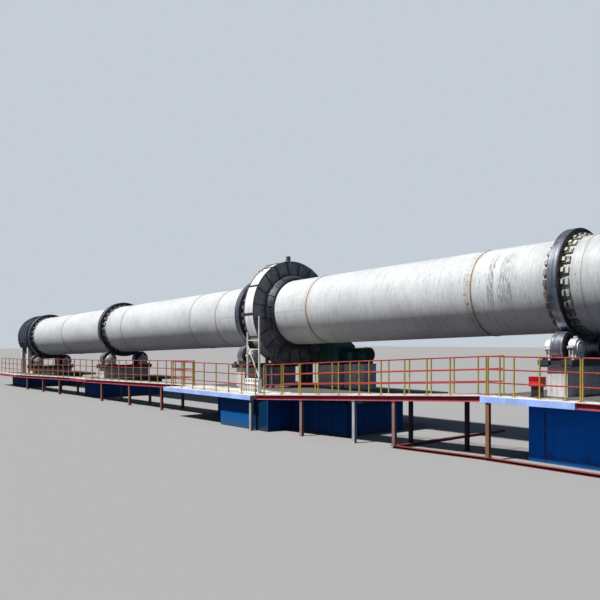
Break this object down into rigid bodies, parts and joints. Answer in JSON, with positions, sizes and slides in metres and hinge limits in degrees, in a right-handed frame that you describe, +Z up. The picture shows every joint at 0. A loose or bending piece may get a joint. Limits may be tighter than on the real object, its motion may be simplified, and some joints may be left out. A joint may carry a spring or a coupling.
{
  "type": "rotary kiln, 1:2 scale model",
  "caption": "Inclined rotary kiln on tyres and support rollers, with a guarded girth gear drive, blue piers, platforms, walkways and red railings, half size.",
  "frame": {"origin": "ground level below the kiln axis, 35 mm from the middle of the third tyre on its discharge side", "axes": "+X along the kiln towards its raised feed end, +Y to the side away from the walkway, +Z up"},
  "size_m": [26.6183, 3.88, 3.805],
  "materials": {
    "shell_paint": "weathered off-white paint with rust at the weld seams",
    "brick_lining": "refractory brick, matt",
    "tyre_steel": "polished running face, dark oiled sides",
    "pad_paint": "faded cream paint",
    "gear_steel": "greased cast steel",
    "roller_steel": "polished running face",
    "pier_paint": "blue paint over concrete",
    "slab_concrete": "pale concrete with a light blue edge",
    "plinth_concrete": "bare concrete",
    "frame_steel": "dark painted steel",
    "bearing_paint": "aluminium paint",
    "beam_red": "red oxide paint",
    "rail_red": "red rails on yellow posts",
    "guard_white": "off-white sheet",
    "guard_grey": "dark grey sheet, stained",
    "drive_green": "dark green paint",
    "cowl_steel": "dark grey-blue sheet",
    "stand_paint": "pale paint",
    "block_concrete": "white hollow blocks",
    "box_red": "bright red paint"
  },
  "bodies": {
    "plant": {"pier_1": "pier_paint", "pier_2": "pier_paint", "pier_3": "pier_paint", "pier_4": "pier_paint", "platform_slabs": "slab_concrete", "roller_plinths": "plinth_concrete", "roller_frames": "frame_steel", "roller_bearings": "bearing_paint", "walkway_decks": "slab_concrete", "edge_beams": "beam_red", "walkway_columns": "beam_red", "ground_sills": "beam_red", "railing_1": "rail_red", "railing_2": "rail_red", "railing_3": "rail_red", "railing_4": "rail_red", "guard_rim": "guard_white", "guard_flank_left": "guard_grey", "guard_flank_right": "guard_grey", "pinion_bearings": "frame_steel", "gearbox": "drive_green", "drive_motor": "drive_green", "drive_base": "plinth_concrete", "discharge_cowl": "cowl_steel", "feed_cowl": "cowl_steel", "cowl_stands": "stand_paint", "access_stand": "stand_paint", "block_stack": "block_concrete", "control_box": "box_red"},
    "kiln": {"shell": "shell_paint", "lining": "brick_lining", "tyre_1": "tyre_steel", "tyre_2": "tyre_steel", "tyre_3": "tyre_steel", "tyre_4": "tyre_steel", "tyre_pads": "pad_paint", "girth_gear": "gear_steel", "gear_plates": "gear_steel"},
    "pinion_shaft": {"pinion": "gear_steel"},
    "roller_1_near_body": {"roller_1_near": "roller_steel"},
    "roller_1_far_body": {"roller_1_far": "roller_steel"},
    "roller_2_near_body": {"roller_2_near": "roller_steel"},
    "roller_2_far_body": {"roller_2_far": "roller_steel"},
    "roller_3_near_body": {"roller_3_near": "roller_steel"},
    "roller_3_far_body": {"roller_3_far": "roller_steel"},
    "roller_4_near_body": {"roller_4_near": "roller_steel"},
    "roller_4_far_body": {"roller_4_far": "roller_steel"}
  },
  "joints": [
    {"name": "kiln_spin", "type": "hinge", "parent": "plant", "child": "kiln", "pos_m": [0, 0, 2.429], "axis": [0.9995, 0, 0.0316], "continuous": true},
    {"name": "pinion_spin", "type": "hinge", "parent": "plant", "child": "pinion_shaft", "pos_m": [0.98003, 0.8103, 1.49381], "axis": [0.9995, 0, 0.0316], "continuous": true},
    {"name": "roller_1_near_spin", "type": "hinge", "parent": "plant", "child": "roller_1_near_body", "pos_m": [-14.21156, -0.5727, 0.98746], "axis": [0.9995, 0, 0.0316], "continuous": true},
    {"name": "roller_1_far_spin", "type": "hinge", "parent": "plant", "child": "roller_1_far_body", "pos_m": [-14.21156, 0.5727, 0.98746], "axis": [0.9995, 0, 0.0316], "continuous": true},
    {"name": "roller_2_near_spin", "type": "hinge", "parent": "plant", "child": "roller_2_near_body", "pos_m": [-7.66483, -0.5727, 1.19434], "axis": [0.9995, 0, 0.0316], "continuous": true},
    {"name": "roller_2_far_spin", "type": "hinge", "parent": "plant", "child": "roller_2_far_body", "pos_m": [-7.66483, 0.5727, 1.19434], "axis": [0.9995, 0, 0.0316], "continuous": true},
    {"name": "roller_3_near_spin", "type": "hinge", "parent": "plant", "child": "roller_3_near_body", "pos_m": [0.06631, -0.5727, 1.43866], "axis": [0.9995, 0, 0.0316], "continuous": true},
    {"name": "roller_3_far_spin", "type": "hinge", "parent": "plant", "child": "roller_3_far_body", "pos_m": [0.06631, 0.5727, 1.43866], "axis": [0.9995, 0, 0.0316], "continuous": true},
    {"name": "roller_4_near_spin", "type": "hinge", "parent": "plant", "child": "roller_4_near_body", "pos_m": [8.17227, -0.5727, 1.69481], "axis": [0.9995, 0, 0.0316], "continuous": true},
    {"name": "roller_4_far_spin", "type": "hinge", "parent": "plant", "child": "roller_4_far_body", "pos_m": [8.17227, 0.5727, 1.69481], "axis": [0.9995, 0, 0.0316], "continuous": true}
  ],
  "couplings": [
    {"joint": "pinion_spin", "follows": "kiln_spin", "ratio": -6},
    {"joint": "roller_1_near_spin", "follows": "kiln_spin", "ratio": -3.58},
    {"joint": "roller_1_far_spin", "follows": "kiln_spin", "ratio": -3.58},
    {"joint": "roller_2_near_spin", "follows": "kiln_spin", "ratio": -3.58},
    {"joint": "roller_2_far_spin", "follows": "kiln_spin", "ratio": -3.58},
    {"joint": "roller_3_near_spin", "follows": "kiln_spin", "ratio": -3.58},
    {"joint": "roller_3_far_spin", "follows": "kiln_spin", "ratio": -3.58},
    {"joint": "roller_4_near_spin", "follows": "kiln_spin", "ratio": -3.58},
    {"joint": "roller_4_far_spin", "follows": "kiln_spin", "ratio": -3.58}
  ]
}
